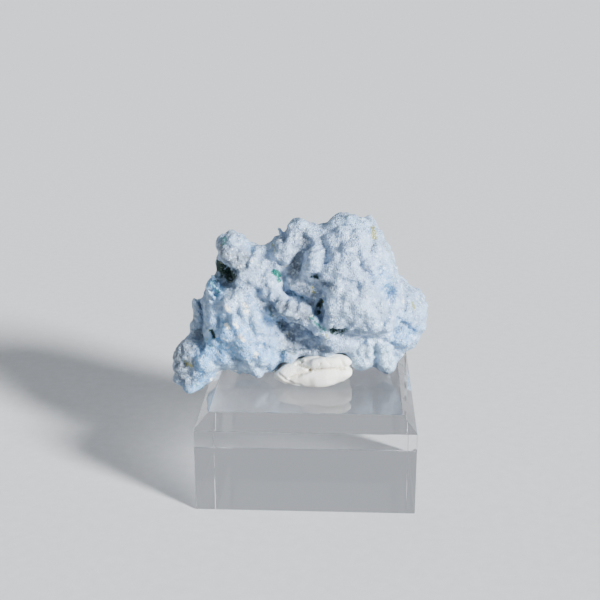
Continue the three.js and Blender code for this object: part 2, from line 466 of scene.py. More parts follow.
# Rounded lobes on the near side: the pixel each is seen at and its radius in millimetres
stoneLobes = (
    # left peak
    (230, 240, 2.8), (244, 243, 2.2), (256, 251, 2.2), (226, 252, 2.2), (250, 262, 1.8), (243, 275, 2.0),
    (252, 281, 1.8), (219, 256, 1.2), (264, 249, 1.6), (261, 266, 1.8), (238, 258, 1.9),
    # middle peaks
    (278, 243, 1.9), (285, 250, 2.2), (292, 240, 1.8), (276, 256, 1.9), (288, 262, 1.7), (277, 267, 1.3),
    (285, 271, 1.4), (300, 223, 2.0), (293, 227, 1.7), (307, 227, 1.6), (311, 235, 1.5), (316, 243, 1.5),
    # knob and curl between them
    (308, 254, 1.8), (315, 265, 2.1), (307, 267, 1.6), (313, 258, 1.7), (299, 271, 1.3),
    (298, 284, 1.5), (306, 287, 1.8), (313, 291, 1.2), (304, 279, 1.2), (326, 276, 1.5),
    # the arm across the middle
    (268, 286, 1.6), (262, 293, 1.5), (270, 297, 1.8), (278, 303, 2.0), (288, 308, 2.3), (300, 307, 2.2),
    (308, 312, 1.6), (296, 315, 1.6), (257, 283, 1.5),
    # left fan
    (250, 305, 1.8), (244, 312, 1.6), (228, 304, 2.0), (222, 313, 1.9), (212, 312, 1.6), (234, 322, 1.6),
    (256, 320, 1.8), (264, 330, 1.8), (252, 350, 2.1), (270, 342, 1.8), (281, 336, 1.6), (262, 360, 2.1),
    (244, 366, 1.8), (230, 363, 1.9), (272, 361, 1.9), (208, 352, 2.0), (222, 359, 2.0), (203, 363, 1.9),
    (240, 345, 1.7), (226, 335, 1.9), (212, 322, 1.6), (238, 296, 1.6), (248, 292, 1.6),
    # pillar and bulb
    (195, 306, 1.1), (195, 314, 1.0), (194, 324, 1.2), (196, 332, 1.0), (184, 347, 1.7), (176, 356, 1.5),
    (190, 354, 1.5), (175, 368, 1.2), (178, 380, 1.8), (190, 388, 2.0), (197, 373, 2.1), (191, 363, 1.4),
    # ledges under the dome
    (318, 322, 0.9), (324, 328, 0.9), (330, 338, 1.4), (338, 343, 1.4), (346, 340, 1.3), (333, 349, 1.3),
    # right dome
    (335, 222, 2.2), (350, 219, 2.4), (364, 222, 2.0), (372, 232, 1.8), (341, 235, 2.4), (357, 237, 2.5),
    (330, 239, 2.1), (346, 252, 2.3), (362, 254, 2.3), (378, 246, 2.0), (387, 254, 1.8), (328, 268, 2.0),
    (340, 272, 2.1), (355, 275, 2.3), (370, 267, 2.1), (384, 270, 1.9), (336, 290, 2.3), (350, 294, 2.4),
    (366, 292, 2.3), (332, 308, 2.2), (346, 311, 2.3), (360, 306, 2.1), (371, 314, 1.9), (382, 308, 2.1),
    (396, 290, 1.9), (396, 305, 1.9), (410, 300, 2.1), (418, 312, 1.9), (406, 314, 1.7), (340, 322, 1.4),
    (356, 321, 1.5), (374, 328, 1.9), (388, 326, 1.9), (400, 338, 2.1), (412, 338, 1.7), (388, 338, 1.5),
    # bottom lobes
    (361, 351, 2.0), (370, 357, 2.0), (364, 363, 1.8), (385, 349, 1.8), (389, 356, 1.6),
)

# Thick stumps joined to the body: foot, tip and the radii at both, in millimetres
stumps = (
    ((-20.8, 0.6, 45.0), (-19.4, 0.4, 53.0), (1.9, 2.1)),  # behind the dark pit
    ((12.5, -2.6, 30.4), (12.7, -2.6, 28.9), (3.0, 2.8)),  # bottom lobes
    ((18.4, -2.4, 32.0), (18.1, -2.4, 29.6), (2.7, 2.8)),
    ((-0.9, -1.2, 57.0), (-1.6, -2.0, 52.6), (2.4, 2.7)),  # between the peaks
    ((-1.8, -2.4, 52.4), (-2.6, -3.4, 49.6), (2.6, 2.6)),
    ((-2.6, -4.6, 48.6), (1.8, -5.2, 46.8), (2.7, 3.0)),  # the middle
    ((-2.8, -4.4, 45.2), (1.2, -4.8, 45.0), (2.4, 2.4)),
    ((-5.5, -1.4, 37.6), (-2.4, -1.8, 35.4), (2.6, 2.6)),  # back of the cave
    ((-7.6, -2.6, 39.6), (-6.6, -2.8, 36.6), (2.4, 2.4)),
    ((-24.6, -1.6, 32.6), (-24.2, -1.6, 34.8), (1.6, 1.3)),  # foot of the pillar
)

# Branching fingers laid on it later, in the same way
fingers = (
    ((-20.4, -1.6, 43.0), (-22.9, -1.2, 48.6), (0.75, 0.42)),
    ((-21.0, -2.2, 42.4), (-23.9, -1.8, 45.8), (0.7, 0.4)),
    ((-20.2, -2.6, 43.4), (-21.2, -2.6, 47.4), (0.65, 0.4)),
    ((-21.6, -2.0, 40.6), (-24.9, -1.6, 43.4), (0.8, 0.5)),
    ((-19.8, -2.8, 42.2), (-20.0, -3.4, 45.6), (0.7, 0.38)),
    ((-21.8, -1.6, 44.6), (-23.4, -2.2, 47.2), (0.5, 0.34)),
    ((-21.4, -2.4, 44.0), (-22.6, -5.0, 48.2), (0.55, 0.34)),
    ((-21.2, -2.6, 43.8), (-21.4, -5.2, 47.2), (0.55, 0.34)),
    ((-21.8, -2.4, 43.0), (-23.4, -5.0, 46.2), (0.55, 0.34)),
    ((-21.4, -2.8, 42.6), (-22.4, -5.6, 45.0), (0.5, 0.34)),
    ((-20.6, -2.8, 43.0), (-20.4, -5.6, 46.0), (0.5, 0.34)),
    ((-21.8, -2.6, 42.0), (-23.2, -5.4, 43.8), (0.5, 0.34)),
    ((-16.8, -3.4, 47.0), (-17.8, -4.4, 51.4), (0.5, 0.34)),
    ((-16.0, -3.8, 47.4), (-16.6, -4.8, 50.4), (0.45, 0.34)),
    ((1.0, -9.2, 41.6), (4.6, -8.8, 36.4), (1.0, 0.8)),  # pale ribbon
    ((-5.4, -0.4, 57.6), (-7.0, -0.6, 60.2), (0.55, 0.36)),
    ((-26.6, -0.6, 38.0), (-27.4, -0.8, 42.4), (1.1, 0.7)),
    ((-24.2, -1.2, 40.0), (-25.4, -1.4, 42.6), (0.9, 0.6)),
)

# Grooves and ridges: a path in the photograph's pixels, its half width and lift in millimetres
stoneReliefs = (
    ([(303, 240), (308, 247)], 1.6, -0.5),  # hollow between the peaks
    ([(300, 249), (297, 262)], 1.2, -0.9),  # groove below it
    ([(294, 266), (292, 280)], 1.0, -0.7),
    ([(311, 277), (318, 277)], 0.9, -1.8),  # hole under the knob
    ([(322, 284), (334, 287)], 0.9, -1.0),
    ([(321, 293), (326, 293)], 0.7, -1.1),
    ([(289, 292), (296, 298), (305, 299)], 0.9, -1.6),  # slit in the middle
    ([(323, 298), (319, 306), (318, 314)], 0.9, -1.8),  # cleft beside the dome
    ([(331, 330), (339, 332)], 1.2, -2.8),  # slot under the lip
    ([(341, 331), (346, 330)], 0.8, -2.2),
    ([(350, 332), (360, 332)], 1.3, -0.9),
    ([(346, 330), (355, 325), (365, 330)], 0.6, 0.5),  # rim of the lip
    ([(268, 306), (274, 314), (284, 327)], 1.6, -2.0),  # gap beside the fan
    ([(258, 290), (262, 303)], 1.0, -0.7),
    ([(289, 320), (290, 336)], 1.6, -1.2),  # cave
    ([(297, 322), (299, 333)], 1.4, -1.0),
    ([(290, 346), (310, 347), (324, 350)], 1.6, -1.3),
    ([(300, 338), (310, 335), (320, 331)], 0.8, 0.9),  # light ledge in the cave
    ([(225, 267), (234, 275)], 2.0, -1.2),  # dark pit
    ([(226, 284), (238, 288), (247, 284)], 1.0, -0.7),
    ([(241, 324), (249, 329)], 1.3, -0.8),
    ([(250, 336), (261, 337)], 1.2, -0.7),
    ([(216, 349), (238, 351)], 2.2, -0.5),
    ([(211, 331), (214, 338)], 0.6, -1.2),
    ([(233, 318), (237, 328), (242, 338), (247, 345)], 0.8, 0.4),  # fan's ridge
    ([(198, 335), (201, 346)], 1.4, -1.4),  # between pillar and bulb
    ([(201, 303), (202, 318), (200, 332)], 0.7, -1.0),  # and fan
    ([(184, 365)], 1.3, -1.0),  # pit in the bulb
    ([(188, 374), (191, 382)], 1.0, -0.7),
    ([(382, 290), (389, 289)], 1.7, -1.0),  # blue hollow
    ([(398, 320), (406, 327), (415, 332)], 0.9, -1.2),  # crease on the arm
    ([(375, 345), (375, 357), (376, 368)], 0.8, -0.9),  # between bottom lobes
    ([(355, 342), (366, 339), (380, 340), (395, 345)], 0.9, -0.9),
    ([(358, 347), (357, 355), (362, 362)], 0.6, -0.4),
    ([(397, 352), (399, 358)], 1.8, -1.6),  # in under the right arm
    ([(258, 371), (270, 373)], 1.6, -1.1),  # level foot of the fan
    ([(324, 246), (325, 262)], 1.3, -0.8),
    ([(360, 262), (362, 270)], 1.3, -0.9),
    ([(367, 272), (372, 280)], 1.2, -0.9),
    ([(342, 256), (356, 257)], 1.2, -0.7),
    ([(345, 282), (356, 284)], 1.1, -0.7),
    ([(255, 262), (254, 270), (261, 275), (267, 268)], 0.6, -0.4),
    # creases between the lobes of the arm
    ([(264, 285), (268, 292), (265, 299)], 0.7, -0.8),
    ([(277, 292), (275, 300), (271, 306)], 0.7, -0.8),
    ([(288, 298), (284, 306), (283, 313)], 0.7, -0.8),
    ([(297, 300), (296, 308), (298, 316)], 0.7, -0.8),
    ([(270, 299), (282, 305), (294, 311)], 0.6, -0.5),
    # of the left peak and the middle peaks
    ([(237, 234), (239, 248), (235, 262)], 0.7, -0.8),
    ([(250, 246), (249, 256), (245, 268)], 0.7, -0.7),
    ([(262, 253), (260, 268)], 0.7, -0.7),
    ([(226, 246), (232, 249)], 0.6, -0.6),
    ([(285, 228), (284, 240), (281, 250)], 0.6, -0.6),
    ([(293, 234), (292, 250)], 0.6, -0.6),
    ([(276, 262), (282, 265), (289, 268)], 0.6, -0.5),
    # of the knob, the fan and the bulb
    ([(297, 264), (301, 268), (298, 273)], 0.5, -0.6),
    ([(305, 280), (311, 284), (318, 284)], 0.6, -0.7),
    ([(221, 306), (217, 326), (219, 344)], 0.8, -0.7),
    ([(236, 304), (238, 316)], 0.7, -0.6),
    ([(248, 318), (254, 334), (256, 352)], 0.8, -0.6),
    ([(262, 344), (266, 356)], 0.8, -0.6),
    ([(181, 348), (180, 360), (174, 366)], 0.7, -0.8),
    ([(184, 374), (182, 386)], 0.7, -0.6),
    # of the dome and the bottom lobes
    ([(340, 243), (338, 262)], 0.8, -0.35),
    ([(372, 240), (370, 256), (377, 268)], 0.8, -0.5),
    ([(346, 262), (350, 276)], 0.8, -0.35),
    ([(358, 286), (358, 300)], 0.8, -0.35),
    ([(388, 296), (389, 312), (384, 322)], 1.0, -0.7),
    ([(404, 296), (404, 310)], 0.8, -0.6),
    ([(364, 350), (368, 360)], 0.6, -0.4),
    ([(386, 352), (388, 364)], 0.6, -0.4),
)

# Coloured patches: a path in the photograph's pixels and a radius in millimetres
stonePatches = {
    "blueZone": (
        ([(196, 386), (200, 365), (213, 355), (222, 345)], 5.5, 1.0),
        ([(230, 330), (250, 352), (270, 360)], 6.0, 0.75),
        ([(212, 318), (222, 335)], 4.5, 0.5),
        ([(262, 300), (268, 318), (280, 328)], 4.0, 0.75),
        ([(212, 280), (218, 294)], 2.6, 0.9),
        ([(184, 386), (192, 392)], 3.4, 1.0),
        ([(383, 275), (387, 288)], 3.4, 0.8),
        ([(352, 222), (366, 228)], 3.4, 0.5),
        ([(400, 322), (412, 330), (402, 340)], 3.6, 0.6),
        ([(226, 242), (252, 247)], 2.6, 0.45),
        ([(370, 352), (388, 352)], 4.0, 0.2),
    ),
    "tealZone": (
        ([(275, 272), (278, 275), (279, 279)], 1.1, 1.0),
        ([(223, 238), (226, 244)], 1.3, 0.5),
        ([(251, 246), (254, 249)], 1.0, 0.45),
        ([(350, 216), (354, 219)], 1.6, 0.35),
        ([(386, 284), (389, 289)], 1.6, 0.35),
        ([(212, 280), (217, 292)], 1.6, 0.5),
        ([(205, 342), (212, 346)], 1.6, 0.4),
        ([(313, 318), (319, 326), (324, 332)], 1.2, 0.6),
        ([(197, 386), (203, 388)], 1.4, 0.35),
    ),
    # dark green stain, also standing as painted shade in the slot, the cleft, the pit, the cave and the
    # gaps
    "greenStainAndShadeZone": (
        ([(211, 330), (214, 337)], 0.8, 0.9),
        ([(322, 299), (319, 306), (318, 313)], 0.9, 0.8),
        ([(219, 266), (224, 271), (233, 277)], 2.4, 1.0),
        ([(269, 310), (276, 320), (283, 327)], 1.2, 0.5),
        ([(283, 350), (300, 352)], 2.2, 0.45),
        ([(216, 278), (219, 290)], 0.8, 0.6),
        ([(331, 330), (339, 332)], 1.4, 1.0),
        ([(341, 331), (346, 330)], 0.7, 0.8),
        ([(312, 277), (318, 277)], 0.8, 0.8),
        ([(290, 293), (304, 299)], 0.8, 0.5),
    ),
    "ochreZone": (
        ([(186, 362), (190, 365)], 1.1, 0.85),
        ([(312, 288), (314, 292)], 0.6, 0.75),
        ([(322, 297), (323, 301)], 0.5, 0.6),
        ([(373, 226), (374, 237)], 1.1, 0.85),
        ([(272, 245), (275, 248)], 0.9, 0.6),
        ([(384, 245), (387, 250)], 1.0, 0.6),
        ([(324, 334), (327, 339)], 0.9, 0.7),
        ([(413, 304), (415, 309)], 0.8, 0.75),
        ([(362, 262), (365, 268)], 1.3, 0.2),
        ([(277, 241)], 0.7, 0.5),
        ([(420, 332)], 0.9, 0.35),
    ),
    "lilacZone": (
        ([(336, 250), (362, 262), (350, 300)], 9.0, 0.8),
        ([(300, 240), (300, 285)], 7.0, 0.9),
        ([(232, 250), (252, 262)], 6.0, 0.7),
        ([(262, 290), (296, 310)], 5.0, 0.8),
        ([(284, 325), (316, 345)], 6.0, 1.0),
        ([(180, 350), (184, 375)], 4.0, 0.7),
        ([(345, 335), (370, 338)], 4.0, 0.6),
    ),
    # painted shade: darkened patches on the bulb, the pillar, the cave, the pit, the grooves and the peaks'
    # shaded sides
    "paintedShadeZone": (
        ([(322, 281), (334, 287)], 1.8, 0.6),
        ([(331, 330), (346, 331)], 1.1, 1.0),
        ([(179, 350), (181, 371)], 5.0, 1.0),
        ([(196, 306), (195, 330)], 2.2, 0.5),
        ([(287, 318), (292, 342)], 4.6, 0.75),
        ([(282, 306), (306, 317)], 2.4, 0.8),
        ([(264, 300), (270, 306)], 2.0, 0.6),
        ([(296, 350), (326, 350)], 3.0, 0.5),
        ([(224, 250), (238, 262)], 3.8, 0.8),
        ([(216, 268), (226, 272), (233, 277)], 3.4, 1.0),
        ([(303, 238), (299, 256), (296, 272)], 2.8, 0.9),
        ([(296, 288), (316, 300)], 3.0, 0.6),
        ([(270, 308), (282, 326)], 2.4, 0.3),
        ([(281, 240), (284, 254)], 2.6, 0.4),
    ),
    # painted shade: broad darkening of the arm, the left peak, the bulb, the cave and the pillar
    "broadShadeZone": (
        ([(270, 300), (290, 312), (302, 312)], 4.0, 0.8),
        ([(230, 246), (250, 262)], 6.0, 0.9),
        ([(178, 352), (186, 378)], 4.4, 1.0),
        ([(288, 330), (316, 346)], 5.0, 0.8),
        ([(292, 280), (316, 298)], 4.0, 0.4),
        ([(197, 306), (200, 335)], 3.0, 0.6),
    ),
    "paleZone": (
        ([(364, 352), (368, 362)], 4.0, 1.0),
        ([(382, 350), (388, 362)], 4.0, 1.0),
        ([(346, 222), (366, 228)], 4.4, 0.4),
        ([(338, 300), (372, 316)], 4.4, 0.5),
        ([(214, 366), (240, 370), (262, 366)], 2.6, 0.6),
        ([(232, 300), (240, 312)], 3.0, 0.5),
    ),
    # painted glints: small cream-white highlights along the fan's ridge and on other crests
    "creamGlintZone": (
        ([(226, 307), (228, 310)], 0.9, 0.9),
        ([(244, 306), (247, 311)], 0.9, 1.0),
        ([(226, 324), (228, 327)], 0.8, 0.9),
        ([(234, 321), (237, 327)], 0.75, 0.8),
        ([(240, 336), (244, 341)], 0.75, 0.8),
        ([(252, 261)], 0.75, 0.8),
        ([(256, 353), (258, 356)], 0.75, 0.8),
        ([(210, 383), (214, 378), (222, 374), (236, 371)], 0.9, 0.9),
        ([(402, 299), (404, 303)], 0.7, 0.6),
        ([(278, 265), (286, 266)], 0.8, 0.5),
    ),
}


def lumpsOn(places, axes, kind):
    # balls of varied size sunk into the skin at the places given
    low, high = np.array(kind["radius"]) * mm
    radii = low + (high - low) * rng.uniform(size=len(places)) ** stone["smallBias"]
    lengths = radii * rng.uniform(*stone["lumpLength"], len(places))
    sunk = places - axes * (lengths * (1 - kind["out"]))[:, None]
    return ballsAt(sunk, axes, radii, lengths, kind["rings"], kind["sides"])


def beadRows(rows):
    # each stump or finger is a row of beads from foot to tip, wandering a little
    kind, parts = stone["beads"], []
    for foot, tip, ends in rows:
        reach = np.array(tip) - np.array(foot)
        length = np.linalg.norm(reach)
        share = np.linspace(0, 1, int(length / kind["pitch"]) + 2)
        wander = rng.normal(0, kind["wander"], (len(share), 3))
        places = np.array(foot) + reach * share[:, None] + wander
        radii = np.interp(share, (0, 1), ends) * rng.uniform(*kind["size"], len(share)) * mm
        axes = np.tile(reach / length, (len(share), 1))
        parts.append(ballsAt(places * mm, axes, radii, radii, kind["rings"], kind["sides"]))
    return parts


def placedLobes(points, faces):
    # the lobes given by their pixels, each where its pixel falls on the skin, along the normal there
    kind = stone["lobes"]
    seen, depth = seenPixels(points)
    normals = relaxed(normalsOf(points, faces), edgesOf(faces), stone["normalSmoothing"])
    pixels, radii = np.array(stoneLobes)[:, :2], np.array(stoneLobes)[:, 2] * mm
    near = skinUnder(seen, depth, pixels)
    axes = normals[near] / np.linalg.norm(normals[near], axis=1, keepdims=True)
    sunk = points[near] - axes * (radii * (1 - kind["out"]))[:, None]
    return points[near], ballsAt(sunk, axes, radii, radii * kind["length"], kind["rings"], kind["sides"])


def lobedBody(points, faces):
    # placed lobes on the near side, scattered lumps wherever none of them is close, and the stumps
    lobePlaces, lobes = placedLobes(points, faces)
    places, axes = scattered(points, faces, stone["lumps"]["count"])
    apart = np.linalg.norm(places[:, None] - lobePlaces[None], axis=2).min(axis=1)
    far = apart > stone["lumps"]["radius"][1] * mm
    lumps = lumpsOn(places[far], axes[far], stone["lumps"])
    return joined([(points, faces), lobes, lumps] + beadRows(stumps))


def triangulated(faces):
    return np.concatenate([faces[:, [0, 1, 2]], faces[:, [0, 2, 3]]])


def makeStone():
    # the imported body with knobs, lobes, grooves, crumbs and grain laid on in turn
    points, faces = skinned(*mergedCopy("gibbsite"), *stone["baseSkin"])
    pitch, height, salt = stone["knobs"]
    lift = height * (roundBumps(points, pitch * mm, salt) - stone["knobLevel"]) - stone["settle"]
    points = points + normalsOf(points, faces) * (lift * mm)[:, None]
    points, faces = skinned(*lobedBody(points, triangulated(faces)), *stone["lobedSkin"])
    print("stone: lobes joined,", len(faces), "quads")
    lift = reliefLift(points, stoneReliefs, stone["reliefReach"])
    normals = relaxed(normalsOf(points, faces), edgesOf(faces), stone["normalSmoothing"])
    points = points + normals * lift[:, None]
    parts = [(points, triangulated(faces))] + beadRows(fingers)
    for kind in stone["crumbs"]:
        parts.append(lumpsOn(*scattered(*parts[0], kind["count"]), kind))
    points, faces = skinned(*joined(parts), *stone["lastSkin"])
    edges = edgesOf(faces)
    print("stone: crumbs joined,", len(faces), "quads")
    for pitch, height, salt in stone["grain"]:
        bumps = roundBumps(points, pitch * mm, salt)
        lift = (bumps - stone["grainLevel"]) * height * mm
        points = points + normalsOf(points, faces) * lift[:, None]
    piece = newPiece("gibbsite_stone", points, faces)
    normals = normalsOf(points, faces)
    # masks of painted shade and highlight: how far each point lies sunk below its smoothed shape
    for name in ("creviceShading", "hollowShade"):
        passes, gain = stone[name + "Mask"]
        setMask(piece, name, np.clip(0.5 + sunkBelow(points, edges, normals, passes) * gain, 0, 1))
    seen, depth = seenPixels(points)
    for name, patches in stonePatches.items():
        weight = np.zeros(len(points))
        for path, radius, strength in patches:
            places = placedOn(points, seen, depth, path)
            weight = np.maximum(weight, strength * markWeight(points, places, radius * mm) ** 0.5)
        setMask(piece, name, weight)
    print("stone: finished with", len(points), "points")
    return piece


# The stone's coats of colour, as linear red, green and blue
stoneColours = {
    "ground": (0.31, 0.42, 0.57),
    "paleGround": (0.41, 0.54, 0.73),
    "blue": (0.19, 0.46, 0.80),
    "lightPatch": (0.54, 0.70, 0.91),
    "darkPatch": (0.25, 0.32, 0.41),
    "mottle": (0.64, 0.79, 0.95),
    "pale": (0.62, 0.79, 0.94),
    "lilac": (0.47, 0.55, 0.70),
    # painted shade, broad
    "soft": (0.24, 0.29, 0.36),
    # painted shade
    "dim": (0.16, 0.17, 0.19),
    # painted shade in the wide hollows and the narrow creases
    "hollowShade": (0.17, 0.22, 0.29),
    "creviceShading": (0.17, 0.24, 0.36),
    "grainEdge": (0.24, 0.31, 0.42),
    # painted highlight on the crests
    "crest": (0.57, 0.74, 0.94),
    # painted glints on single crystal faces, and painted shade on others
    "brightFace": (0.76, 0.87, 0.97),
    "darkFace": (0.24, 0.30, 0.42),
    "strawFleck": (0.72, 0.70, 0.50),
}
stoneStains = {
    "tealZone": (0.01, 0.20, 0.16),
    # dark green stain, also painted shade in the deep clefts
    "greenStainAndShadeZone": (0.025, 0.06, 0.05),
    "ochreZone": (0.31, 0.31, 0.13),
    # painted glints in cream white
    "creamGlintZone": (0.93, 0.93, 0.88),
}


def stonePatterns(tree, place):
    # the textures that the stone's colour and relief share, from coarse to fine
    cellColour = cellPattern(tree, place, 1700.0)["Color"]
    return {
        "cloud": noise(tree, place, 190.0, 4.0),
        "patchy": noise(tree, place, 430.0, 2.0),
        "mottle": noise(tree, place, 900.0, 3.0),
        "flecks": noise(tree, place, 1100.0, 3.0),
        "granules": cellPattern(tree, place, 1350.0)["Distance"],
        "speckle": addNode(tree, "ShaderNodeSeparateColor", {"Color": cellColour}).outputs[0],
        "grains": cellPattern(tree, place, 2600.0),
    }


def stoneColour(tree, patterns):
    # pale lilac white to pale blue, bluer where the blue patches are, with a bluish painted shade in the
    # hollows and creases and painted highlights on the crests
    cloud, patchy, flecks, speckle = (patterns[name] for name in ("cloud", "patchy", "flecks", "speckle"))
    creviceShading = mask(tree, "creviceShading")
    blue = times(tree, mask(tree, "blueZone"), ranged(tree, cloud, 0.3, 0.6, 0.65, 1.0))
    # broad painted shade, broken by the patchy noise
    soft = times(tree, mask(tree, "broadShadeZone"), ranged(tree, patchy, 0.35, 0.6, 0.8, 0.3))
    # painted shade on its patches, broken by the patchy noise
    dim = times(tree, mask(tree, "paintedShadeZone"), ranged(tree, patchy, 0.35, 0.6, 1.0, 0.6))
    # painted highlights on the crests, fainter where the stone is blue so that it stays blue
    crest = ranged(tree, creviceShading, 0.47, 0.1, 0.0, 0.6)
    crest = times(tree, crest, ranged(tree, blue, 0, 1, 1, 0.2))
    # the share that each coat covers, first to last
    coats = {
        "paleGround": ranged(tree, cloud, 0.38, 0.62),
        "blue": blue,
        "lightPatch": ranged(tree, patchy, 0.5, 0.64, 0.0, 0.5),
        "darkPatch": ranged(tree, patchy, 0.49, 0.34, 0.0, 0.5),
        "mottle": ranged(tree, patterns["mottle"], 0.54, 0.66, 0.0, 0.25),
        "pale": times(tree, mask(tree, "paleZone"), 0.8),
        "lilac": times(tree, mask(tree, "lilacZone"), 0.45),
        # broad painted shade
        "soft": soft,
        # painted shade
        "dim": dim,
        # painted shade in the wide hollows and the narrow creases
        "hollowShade": ranged(tree, mask(tree, "hollowShade"), 0.56, 1.0, 0.0, 0.55),
        "creviceShading": ranged(tree, creviceShading, 0.53, 0.95, 0.0, 0.6),
        "grainEdge": ranged(tree, patterns["granules"], 0.3, 0.7, 0.0, 0.14),
        "crest": crest,
        # painted glints on random crystal faces, and painted shade on a few others
        "brightFace": ranged(tree, speckle, 0.75, 1.0, 0.0, 0.5),
        "darkFace": ranged(tree, speckle, 0.25, 0.0, 0.0, 0.1),
    }
    colour = stoneColours["ground"]
    for name, share in coats.items():
        colour = blended(tree, share, colour, stoneColours[name])
    # mineral stains with broken edges; the dark green also stands as painted shade in the deep clefts, and
    # the cream marks are painted glints
    for name, stain in stoneStains.items():
        broken = maths(tree, "ADD", mask(tree, name), ranged(tree, flecks, 0.36, 0.64, -0.6, 0.5))
        share = times(tree, ranged(tree, broken, 0.25, 0.7), mask(tree, name))
        share = maths(tree, "MINIMUM", times(tree, share, 1.35), 1.0)
        colour = blended(tree, share, colour, stain)
    rare = times(tree, ranged(tree, flecks, 0.66, 0.72), 0.5)
    return blended(tree, rare, colour, stoneColours["strawFleck"])


def crystalNormal(tree, grains):
    # each tiny crystal face is tilted its own way, so that some catch the light
    tilt = vectors(tree, "SUBTRACT", {0: grains["Color"], 1: (0.5, 0.5, 0.5)})
    tilt = vectors(tree, "SCALE", {0: tilt, "Scale": 0.65})
    facing = tree.nodes.new("ShaderNodeNewGeometry").outputs["Normal"]
    return vectors(tree, "NORMALIZE", {0: vectors(tree, "ADD", {0: facing, 1: tilt})})


def stoneMaterial():
    material, tree, shader, place = newMaterial("gibbsite crust")
    patterns = stonePatterns(tree, place)
    grains = patterns["grains"]
    # grains and granules are small domes: lower the farther from their middles
    height = maths(tree, "ADD", patterns["mottle"], times(tree, grains["Distance"], -0.8))
    height = maths(tree, "ADD", height, times(tree, patterns["granules"], -0.45))
    relief = {"Strength": 0.55, "Distance": 0.0005, "Height": height, "Normal": crystalNormal(tree, grains)}
    # some crystal faces are glossy, and every grain is rougher toward its edge
    rough = ranged(tree, patterns["speckle"], 0.7, 0.95, 0.42, 0.16)
    rough = maths(tree, "ADD", rough, ranged(tree, grains["Distance"], 0.0, 0.5, 0.0, 0.1))
    feed(tree, shader, {
        "Base Color": stoneColour(tree, patterns),
        "Normal": addNode(tree, "ShaderNodeBump", relief).outputs[0],
        "Roughness": rough,
        "IOR": 1.57,
        "Subsurface Weight": 0.22,
        "Subsurface Radius": (0.6, 0.8, 1.1),
        "Subsurface Scale": 0.001,
    })
    return material


# The putty
putty = {
    # as for the stone: voxel in millimetres and smoothing passes of each skin
    "baseSkin": (0.3, 14),
    "fineSkin": (0.2, 3),
    "foldBalls": (30, 40),  # rings and sides
    "swell": (7.0, 0.12, 5),  # pitch, height and seed of its slow waves
    "thumbing": (2.4, 0.03, 6),
    # the left part was pinched dry and crumbly, round this path of the photograph's pixels
    "crumblyPath": [(284, 370), (296, 369), (301, 371)],
    "crumblyReach": 2.6,
    "crumbs": (0.7, 0.2, 31),
    "floorGap": 0.02,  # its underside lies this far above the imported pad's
    # mask of painted shade in the creases and the pit
    "creaseShadeMask": (8, 9, 0.3),  # smoothing passes, gain for each millimetre, and what is left out
    # its colours
    "dull": (0.84, 0.81, 0.73),
    "offWhite": (0.93, 0.915, 0.86),
    # painted shade colour in the creases
    "creaseShade": (0.50, 0.42, 0.29),
    "dryCrumb": (0.60, 0.55, 0.46),
}

# Masses laid on the pad: centre, half width, half height and the rise to the right in degrees
puttyFolds = (
    {"at": (4.2, -4.6, 28.6), "reach": 6.1, "height": 2.2, "rise": 2},
    {"at": (3.6, -5.4, 25.3), "reach": 6.9, "height": 2.35, "rise": 9},
    {"at": (-4.2, -4.6, 25.9), "reach": 3.6, "height": 2.1, "rise": 24},
)

# Creases, folds and pits in the putty, as for the stone
puttyReliefs = (
    ([(297, 364), (304, 367), (310, 370)], 0.6, -0.6),  # over the left lump
    ([(310, 370), (320, 369.5), (335, 369), (344, 368.7)], 0.45, -0.4),
    ([(290, 378.5), (298, 375), (309, 371)], 0.6, -0.7),
    ([(296, 381), (312, 376), (344, 374)], 1.6, 0.3),  # the lower wedge
    ([(314, 363), (344, 361)], 1.8, 0.3),  # the upper mass
    ([(279, 374), (286, 380), (300, 385)], 0.6, -0.3),
    ([(302, 361.4)], 0.6, -0.8),
    ([(299, 360), (302, 358.8), (305, 359.6)], 0.5, 0.25),
    ([(320.5, 363.6)], 0.4, -0.25),
    ([(340, 359), (343, 364), (345, 367)], 0.6, -0.25),
    ([(324, 358), (330, 364)], 0.5, -0.12),
)


def makePutty():
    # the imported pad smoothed, three thumbed folds laid on it, and everything joined to one skin
    points, faces = skinned(*mergedCopy("putty"), *putty["baseSkin"])
    parts = [(points, triangulated(faces))]
    for fold in puttyFolds:
        rise = math.radians(fold["rise"])
        axis = np.array([[math.cos(rise), 0.0, math.sin(rise)]])
        radius, reach = np.array([fold["height"]]) * mm, np.array([fold["reach"]]) * mm
        parts.append(ballsAt(np.array([fold["at"]]) * mm, axis, radius, reach, *putty["foldBalls"]))
    points, faces = skinned(*joined(parts), *putty["fineSkin"])
    lift = reliefLift(points, puttyReliefs)
    for pitch, height, salt in (putty["swell"], putty["thumbing"]):
        lift += height * mm * slowWaves(points, pitch * mm, salt)
    places = placedOn(points, *seenPixels(points), putty["crumblyPath"])
    crumbly = markWeight(points, places, putty["crumblyReach"] * mm)
    pitch, height, salt = putty["crumbs"]
    lift += height * mm * crumbly * (roundBumps(points, pitch * mm, salt) - 0.5)
    points = points + normalsOf(points, faces) * lift[:, None]
    points[:, 2] = np.maximum(points[:, 2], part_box("putty")[0][2] + putty["floorGap"] * mm)
    piece = newPiece("putty_pad", points, faces)
    # painted shade: darker where a point lies sunk below its smoothed shape
    passes, gain, spared = putty["creaseShadeMask"]
    below = sunkBelow(points, edgesOf(faces), normalsOf(points, faces), passes)
    setMask(piece, "creaseShade", np.clip(below * gain - spared, 0, 1))
    setMask(piece, "crumbly", crumbly)
    print("putty: finished with", len(points), "points")
    return piece


